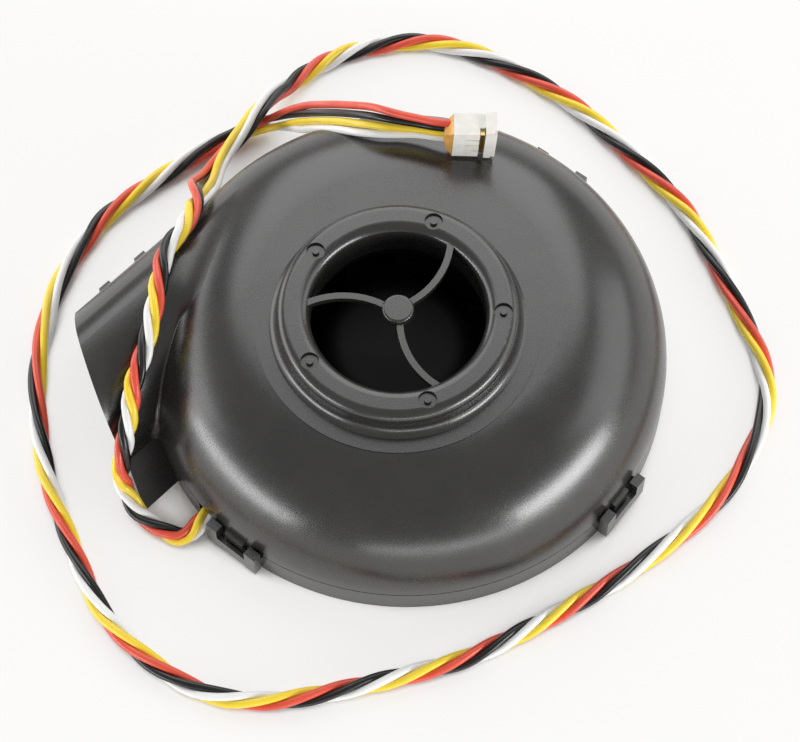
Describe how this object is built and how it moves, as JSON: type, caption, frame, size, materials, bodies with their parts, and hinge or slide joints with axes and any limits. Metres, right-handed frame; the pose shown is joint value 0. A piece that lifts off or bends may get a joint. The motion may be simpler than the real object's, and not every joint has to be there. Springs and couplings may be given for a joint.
{
  "type": "vacuum fan motor",
  "caption": "Round scroll blower with a guarded inlet collar, a tangential outlet duct, snapped shells, an outer-rotor motor with impeller inside and a twisted wire lead with plug.",
  "frame": {"origin": "on the fan axis at the plane of the lower shell's underside", "axes": "+Z along the fan axis towards the inlet; the outlet mouth faces -X"},
  "size_m": [0.1384, 0.131, 0.0361],
  "materials": {
    "casing": "fine satin grain",
    "lower_casing": "fine satin grain",
    "fan_plastic": "satin",
    "steel": "plain",
    "bearing_steel": "ground",
    "laminations": "stacked sheets",
    "brass": "turned",
    "copper": "enamelled wire",
    "magnet": "matt",
    "board": "solder mask",
    "components": "moulded",
    "film": "film",
    "nylon": "moulded",
    "plug": "moulded nylon",
    "glue": "hot melt",
    "lead": "four coloured wires"
  },
  "bodies": {
    "housing": {"upper_housing": "casing", "lower_housing": "lower_casing", "motor_base": "steel", "base_screws": "bearing_steel", "insulating_sheet": "film", "driver_board": "board", "board_components": "components", "bearing_tube": "brass", "stator_core": "laminations", "stator_insulators": "nylon", "stator_windings": "copper", "lower_outer_ring": "bearing_steel", "upper_outer_ring": "bearing_steel", "cable": "lead", "connector_housing": "plug", "connector_contacts": "brass", "glue_bead": "glue"},
    "rotor": {"shaft": "bearing_steel", "shaft_clip": "steel", "preload_washer": "steel", "rotor_bush": "brass", "rotor_cup": "steel", "rotor_magnet": "magnet", "lower_inner_ring": "bearing_steel", "upper_inner_ring": "bearing_steel", "impeller": "fan_plastic", "impeller_shroud": "fan_plastic"},
    "lower_ball_set": {"lower_cage": "nylon", "lower_balls": "bearing_steel"},
    "upper_ball_set": {"upper_cage": "nylon", "upper_balls": "bearing_steel"}
  },
  "joints": [
    {"name": "rotor_spin", "type": "hinge", "parent": "housing", "child": "rotor", "pos_m": [0, 0, 0], "axis": [0, 0, 1], "continuous": true},
    {"name": "lower_cage_spin", "type": "hinge", "parent": "housing", "child": "lower_ball_set", "pos_m": [0, 0, 0], "axis": [0, 0, 1], "continuous": true},
    {"name": "upper_cage_spin", "type": "hinge", "parent": "housing", "child": "upper_ball_set", "pos_m": [0, 0, 0], "axis": [0, 0, 1], "continuous": true}
  ],
  "couplings": [
    {"joint": "lower_cage_spin", "follows": "rotor_spin", "ratio": 0.3655},
    {"joint": "upper_cage_spin", "follows": "rotor_spin", "ratio": 0.3655}
  ]
}
